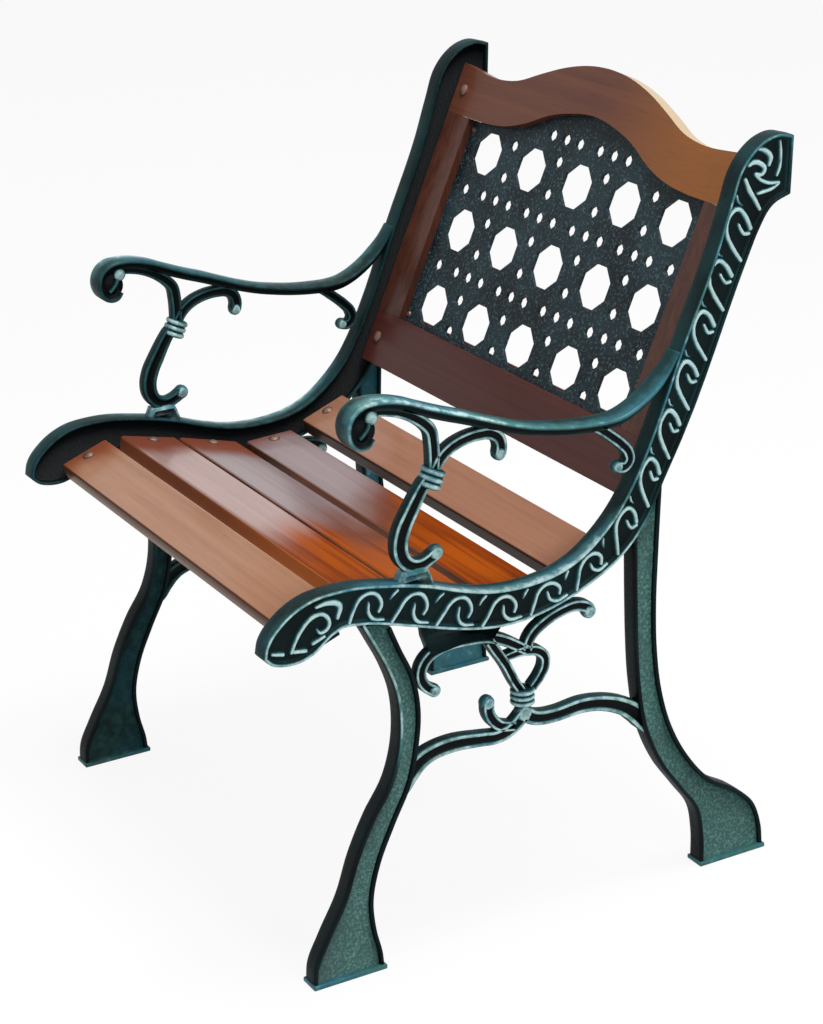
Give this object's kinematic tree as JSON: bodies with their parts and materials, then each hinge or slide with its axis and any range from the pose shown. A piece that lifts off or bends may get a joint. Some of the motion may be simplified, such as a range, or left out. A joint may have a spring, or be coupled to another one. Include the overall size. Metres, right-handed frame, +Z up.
{
  "type": "garden armchair",
  "caption": "Garden armchair with cast iron ends, open scroll arms, hardwood slat seat and a wood-framed cast lattice back.",
  "frame": {"origin": "on the ground under the middle of the chair's width and depth", "axes": "+Z up, the chair faces -Y, +X runs to the end that is on the right when the chair is seen from its front"},
  "size_m": [0.602, 0.603, 0.801],
  "materials": {
    "cast_iron_paint": "dark green paint with pale green brushed over the raised edges",
    "stained_wood": "reddish brown gloss stain",
    "zinc_steel": "plated"
  },
  "bodies": {
    "root": {"left_end": "cast_iron_paint", "right_end": "cast_iron_paint", "seat_slat_1": "stained_wood", "seat_slat_2": "stained_wood", "seat_slat_3": "stained_wood", "seat_slat_4": "stained_wood", "seat_slat_5": "stained_wood", "left_back_stile": "stained_wood", "right_back_stile": "stained_wood", "back_bottom_rail": "stained_wood", "back_crest_rail": "stained_wood", "back_panel": "cast_iron_paint", "left_seat_bolts": "zinc_steel", "right_seat_bolts": "zinc_steel", "left_seat_washers": "zinc_steel", "right_seat_washers": "zinc_steel", "left_seat_nuts": "zinc_steel", "right_seat_nuts": "zinc_steel", "left_back_bolts": "zinc_steel", "right_back_bolts": "zinc_steel", "left_back_washers": "zinc_steel", "right_back_washers": "zinc_steel", "left_back_nuts": "zinc_steel", "right_back_nuts": "zinc_steel", "panel_screws": "zinc_steel"}
  },
  "joints": []
}
